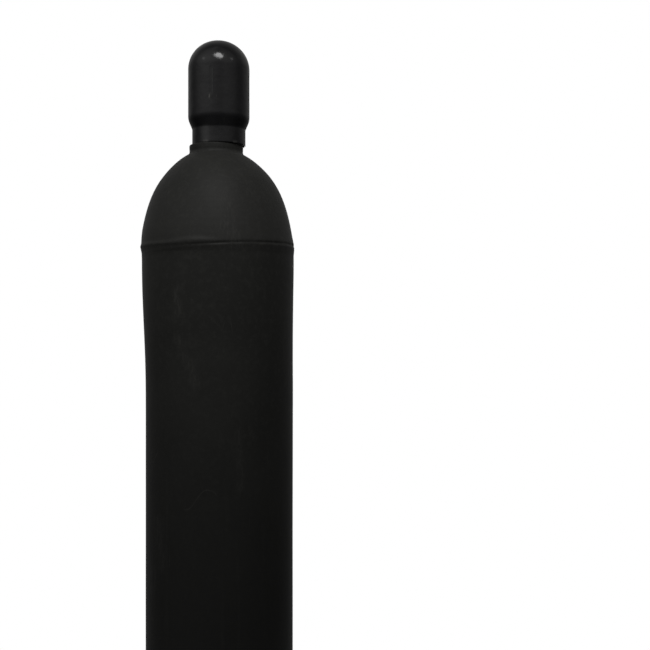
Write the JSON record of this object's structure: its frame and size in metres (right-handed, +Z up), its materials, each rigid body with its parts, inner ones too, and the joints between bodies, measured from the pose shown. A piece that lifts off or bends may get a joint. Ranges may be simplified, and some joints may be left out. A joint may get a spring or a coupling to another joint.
{
  "type": "compressed gas cylinder",
  "caption": "Tall black steel gas cylinder with a spun shoulder, threaded neck ring, domed screw-on valve cap with vent slots, and a brass handwheel valve inside.",
  "frame": {"origin": "centre of the flat foot ring, on the floor", "axes": "+Z up along the cylinder's axis; +X out of the valve's outlet"},
  "size_m": [0.244, 0.2438, 1.524],
  "materials": {
    "shell_paint": "satin, brushed and sprayed over a spun steel surface",
    "cap_enamel": "gloss enamel",
    "ring_paint": "satin",
    "wheel_paint": "semi-gloss over a casting",
    "brass": "forged and machined, slightly tarnished",
    "steel": "bright zinc plated",
    "copper": "soft annealed copper",
    "nylon": "natural nylon and PTFE",
    "rubber": "smooth"
  },
  "bodies": {
    "cylinder": {"cylinder_shell": "shell_paint", "neck_ring": "ring_paint", "valve_body": "brass", "thread_tape": "nylon", "thrust_washer": "nylon", "bonnet_gasket": "copper", "bonnet_nut": "brass", "stem_oring": "rubber", "backup_ring": "nylon", "bearing_washer": "nylon", "relief_gasket": "copper", "rupture_disc": "steel", "relief_plug": "brass"},
    "cap": {"protection_cap": "cap_enamel"},
    "spindle": {"stem": "steel", "handwheel": "wheel_paint", "wheel_spring": "steel", "wheel_washer": "steel", "wheel_nut": "steel"},
    "plug": {"seat_plug": "brass", "seat_insert": "nylon"}
  },
  "joints": [
    {"name": "cap_lift", "type": "slide", "parent": "cylinder", "child": "cap", "axis": [0, 0, 1], "range_m": [0, 0.16]},
    {"name": "handwheel_turn", "type": "hinge", "parent": "cylinder", "child": "spindle", "pos_m": [0, 0, 1.45], "axis": [0, 0, 1], "range_deg": [0, 720]},
    {"name": "plug_travel", "type": "slide", "parent": "spindle", "child": "plug", "axis": [0, 0, 1], "range_m": [0, 0.0037]}
  ],
  "couplings": [
    {"joint": "plug_travel", "follows": "handwheel_turn", "m_per_rad": 0.00028871}
  ]
}
